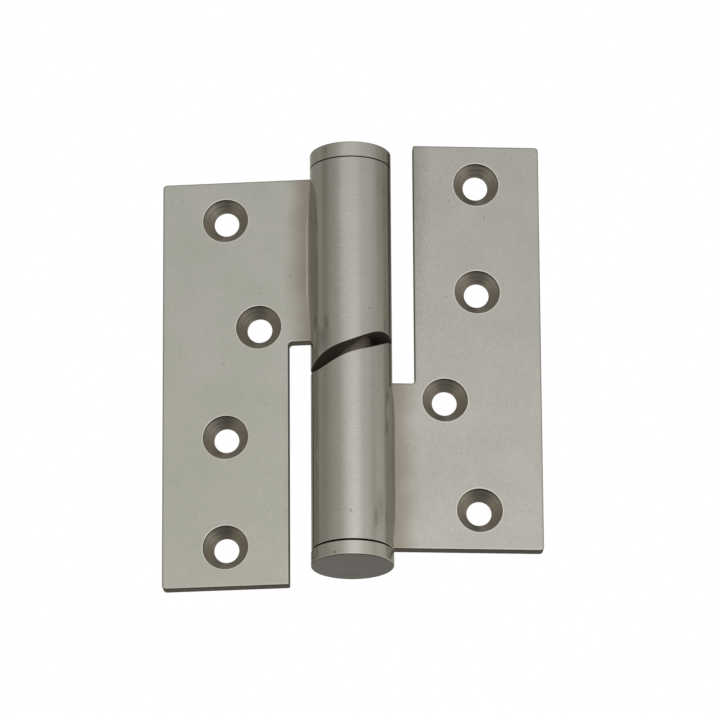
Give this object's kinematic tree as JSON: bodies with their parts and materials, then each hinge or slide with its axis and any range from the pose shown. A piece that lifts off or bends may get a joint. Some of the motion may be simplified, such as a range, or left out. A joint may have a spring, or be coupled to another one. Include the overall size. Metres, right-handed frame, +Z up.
{
  "type": "rising butt hinge",
  "caption": "Stainless door hinge with two countersunk leaves and helical knuckles that lift the door leaf as it swings on its pin.",
  "frame": {"origin": "on the pin axis, level with the lower end of the frame leaf", "axes": "+Z up along the pin, +X from the pin along the frame leaf, -Y out of the faces that take the screw heads"},
  "size_m": [0.0882, 0.0211, 0.1083],
  "materials": {
    "leaf_steel": "satin, brushed along the pin",
    "knuckle_steel": "satin, turned and brushed",
    "pin_steel": "turned, dull",
    "cap_steel": "smooth satin"
  },
  "bodies": {
    "frame": {"frame_leaf": "leaf_steel", "frame_knuckle": "knuckle_steel", "bottom_cap": "cap_steel"},
    "pin": {"hinge_pin": "pin_steel"},
    "door": {"door_leaf": "leaf_steel", "door_knuckle": "knuckle_steel", "top_cap": "cap_steel"}
  },
  "joints": [
    {"name": "swing", "type": "hinge", "parent": "frame", "child": "pin", "pos_m": [0, 0, 0], "axis": [0, 0, 1], "range_deg": [0, 189.5]},
    {"name": "rise", "type": "slide", "parent": "pin", "child": "door", "axis": [0, 0, 1], "range_m": [0, 0.0083]}
  ],
  "couplings": [
    {"joint": "rise", "follows": "swing", "m_per_rad": 0.0025095}
  ]
}
